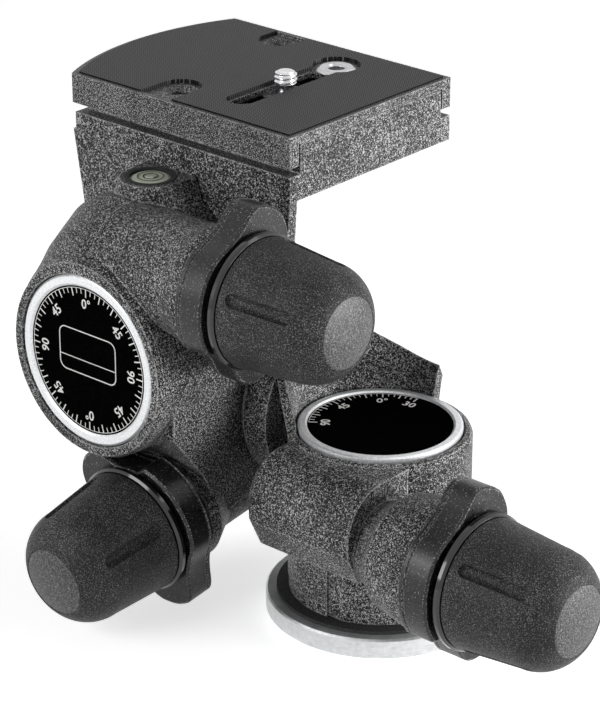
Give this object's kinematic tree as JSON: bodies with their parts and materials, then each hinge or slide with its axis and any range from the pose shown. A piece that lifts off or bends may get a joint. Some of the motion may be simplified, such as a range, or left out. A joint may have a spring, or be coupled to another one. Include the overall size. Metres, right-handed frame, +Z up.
{
  "type": "geared tripod head",
  "caption": "Geared tripod head with three worm drives, knobs with release levers, two degree dials, a level and a quick release plate.",
  "frame": {"origin": "on the pan axis, at the underside of the base where it rests on the tripod", "axes": "+Z up along the pan axis; +X along the pan knob, to the right as the side dial is read; -Y the way that the side dial faces"},
  "size_m": [0.1894, 0.1263, 0.1338],
  "materials": {
    "casting_black": "crinkle powder coat",
    "plate_black": "satin anodised",
    "gloss_black": "gloss",
    "lever_black": "satin",
    "dial_ring_silver": "satin turned",
    "base_aluminium": "turned",
    "shaft_steel": "ground",
    "screw_steel": "bright",
    "gear_bronze": "machined",
    "grip_rubber": "fine grain",
    "pad_rubber": "fine diamond texture",
    "friction_ring": "matte",
    "cap_grey": "satin",
    "level_liquid": "clear pale green",
    "catch_red": "gloss"
  },
  "bodies": {
    "root": {"base_disc": "base_aluminium", "base_thread_bush": "shaft_steel", "pan_column": "shaft_steel", "base_screws": "screw_steel", "base_friction_ring": "friction_ring", "pan_worm_wheel": "gear_bronze", "pan_lock_nut": "shaft_steel", "pan_dial": "gloss_black", "pan_dial_ring": "dial_ring_silver"},
    "pan": {"pan_housing": "casting_black", "pan_lower_bush": "gear_bronze", "pan_upper_bush": "gear_bronze", "front_tilt_shaft": "shaft_steel", "front_tilt_wheel": "gear_bronze", "front_tilt_nut": "shaft_steel"},
    "tilt": {"tilt_housing": "casting_black", "level_cup": "dial_ring_silver", "level_vial": "level_liquid", "side_bearing_flange": "base_aluminium", "front_bearing_flange": "base_aluminium", "side_flange_screws": "screw_steel", "front_flange_screws": "screw_steel", "side_rear_bush": "gear_bronze", "side_front_bush": "gear_bronze", "front_tilt_bush": "gear_bronze"},
    "platform": {"platform_bracket": "casting_black", "lever_pin": "shaft_steel", "side_tilt_shaft": "shaft_steel", "side_tilt_wheel": "gear_bronze", "side_dial": "gloss_black", "side_dial_ring": "dial_ring_silver"},
    "plate": {"quick_release_plate": "plate_black", "plate_pad": "pad_rubber", "plate_bush": "shaft_steel"},
    "screw_slide": {"screw_retainer": "shaft_steel"},
    "camera_screw": {"camera_screw": "screw_steel"},
    "clamp_lever": {"clamp_lever": "plate_black"},
    "clamp_jaw": {"clamp_jaw": "plate_black"},
    "safety_catch": {"safety_catch": "catch_red"},
    "side_knob": {"side_worm_shaft": "shaft_steel", "side_knob_core": "gloss_black", "side_knob_grip": "grip_rubber", "side_knob_end_disc": "cap_grey"},
    "side_lever": {"side_eccentric_sleeve": "shaft_steel", "side_lever_ring": "lever_black"},
    "front_knob": {"front_worm_shaft": "shaft_steel", "front_knob_core": "gloss_black", "front_knob_grip": "grip_rubber", "front_knob_end_disc": "cap_grey"},
    "front_lever": {"front_eccentric_sleeve": "shaft_steel", "front_lever_ring": "lever_black"},
    "pan_knob": {"pan_worm_shaft": "shaft_steel", "pan_knob_core": "gloss_black", "pan_knob_grip": "grip_rubber", "pan_knob_end_disc": "cap_grey"},
    "pan_lever": {"pan_eccentric_sleeve": "shaft_steel", "pan_lever_ring": "lever_black"}
  },
  "joints": [
    {"name": "pan_turn", "type": "hinge", "parent": "root", "child": "pan", "pos_m": [0, 0, 0.035], "axis": [0, 0, 1], "continuous": true},
    {"name": "front_tilt", "type": "hinge", "parent": "pan", "child": "tilt", "pos_m": [-0.048, 0.0045, 0.0506], "axis": [-1, 0, 0], "range_deg": [-30, 90]},
    {"name": "side_tilt", "type": "hinge", "parent": "tilt", "child": "platform", "pos_m": [-0.0594, -0.031, 0.0693], "axis": [0, 1, 0], "range_deg": [-90, 30]},
    {"name": "pan_knob_spin", "type": "hinge", "parent": "pan", "child": "pan_knob", "pos_m": [0, -0.024, 0.035], "axis": [1, 0, 0], "continuous": true},
    {"name": "front_knob_spin", "type": "hinge", "parent": "tilt", "child": "front_knob", "pos_m": [-0.048, 0.00735, 0.02964], "axis": [0, -0.9909, -0.1349], "range_deg": [-1021, 3061]},
    {"name": "side_knob_spin", "type": "hinge", "parent": "tilt", "child": "side_knob", "pos_m": [-0.0594, -0.031, 0.0933], "axis": [1, 0, 0], "range_deg": [-1201, 3601]},
    {"name": "pan_lever_turn", "type": "hinge", "parent": "pan", "child": "pan_lever", "pos_m": [0, -0.024, 0.035], "axis": [1, 0, 0], "range_deg": [0, 16], "stiffness_Nm_per_rad": 0.5, "springref_deg": -17.19},
    {"name": "front_lever_turn", "type": "hinge", "parent": "tilt", "child": "front_lever", "pos_m": [-0.048, 0.00735, 0.02964], "axis": [0, -0.9909, -0.1349], "range_deg": [0, 16], "stiffness_Nm_per_rad": 0.5, "springref_deg": -17.19},
    {"name": "side_lever_turn", "type": "hinge", "parent": "tilt", "child": "side_lever", "pos_m": [-0.0594, -0.031, 0.0933], "axis": [1, 0, 0], "range_deg": [0, 16], "stiffness_Nm_per_rad": 0.5, "springref_deg": -17.19},
    {"name": "plate_lift", "type": "slide", "parent": "platform", "child": "plate", "axis": [0, 0, 1], "range_m": [0, 0.02]},
    {"name": "screw_travel", "type": "slide", "parent": "plate", "child": "screw_slide", "axis": [0, 1, 0], "range_m": [-0.017, 0.0115]},
    {"name": "camera_screw_turn", "type": "hinge", "parent": "screw_slide", "child": "camera_screw", "pos_m": [-0.0493, 0.0185, 0.13], "axis": [0, 0, 1], "continuous": true},
    {"name": "clamp_lever_swing", "type": "hinge", "parent": "platform", "child": "clamp_lever", "pos_m": [-0.04, 0.043, 0.1152], "axis": [0, 0, -1], "range_deg": [0, 60]},
    {"name": "clamp_jaw_slide", "type": "slide", "parent": "platform", "child": "clamp_jaw", "axis": [0, -1, 0], "range_m": [0, 0.0012]},
    {"name": "safety_catch_press", "type": "slide", "parent": "platform", "child": "safety_catch", "axis": [1, 0, 0], "range_m": [0, 0.0022], "stiffness_N_per_m": 300, "springref_m": -0.003}
  ],
  "couplings": [
    {"joint": "pan_knob_spin", "follows": "pan_turn", "ratio": 40},
    {"joint": "front_knob_spin", "follows": "front_tilt", "ratio": 34},
    {"joint": "side_knob_spin", "follows": "side_tilt", "ratio": -40},
    {"joint": "clamp_jaw_slide", "follows": "clamp_lever_swing", "m_per_rad": 0.0011}
  ]
}
